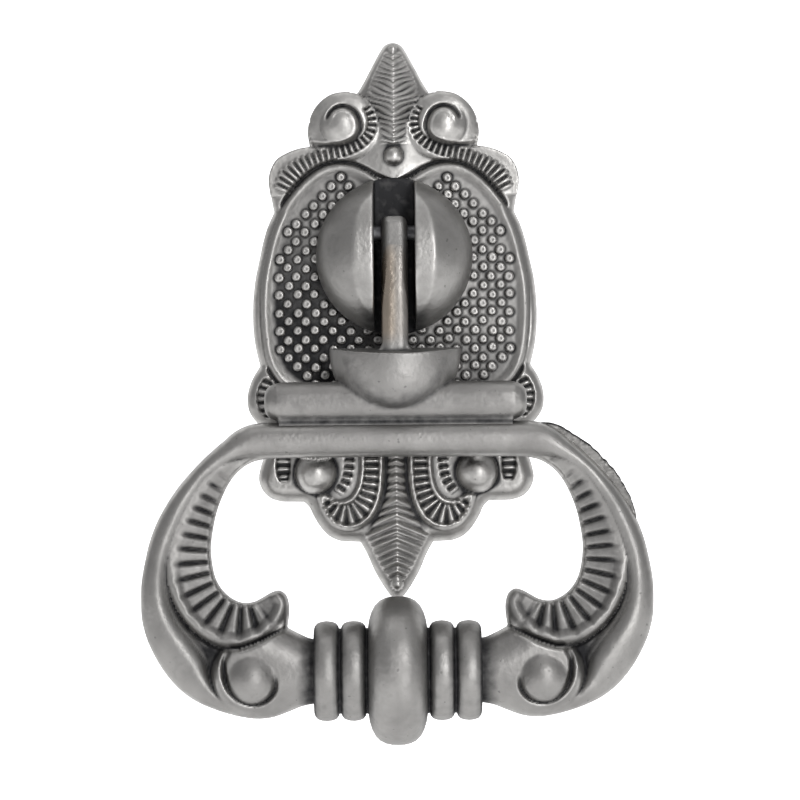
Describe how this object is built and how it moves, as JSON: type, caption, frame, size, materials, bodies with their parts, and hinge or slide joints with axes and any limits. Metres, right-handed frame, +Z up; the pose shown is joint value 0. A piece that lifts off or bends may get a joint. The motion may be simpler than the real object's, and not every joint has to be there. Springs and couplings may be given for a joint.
{
  "type": "ring pull handle",
  "caption": "Ornate cast drop pull: a beaded backplate, a slotted dome post and a swinging bail with leaf arms and a turned grip.",
  "frame": {"origin": "mouth of the post's threaded hole, on the plane of the backplate's back", "axes": "+Z up along the plate, +Y into the drawer front, so the pull faces -Y, and +X to the right as seen from the front"},
  "size_m": [0.0658, 0.0192, 0.0909],
  "materials": {
    "antique_pewter": "satin antique pewter plating on cast zinc, dark in the hollows and rubbed bright on the high spots",
    "pin_steel": "plain steel"
  },
  "bodies": {
    "root": {"backplate": "antique_pewter", "slotted_post": "antique_pewter", "pivot_pin": "pin_steel"},
    "bail": {"bail_handle": "antique_pewter"}
  },
  "joints": [
    {"name": "bail_swing", "type": "hinge", "parent": "root", "child": "bail", "pos_m": [0, -0.0072, 0.0028], "axis": [-1, 0, 0], "range_deg": [0, 160]}
  ]
}
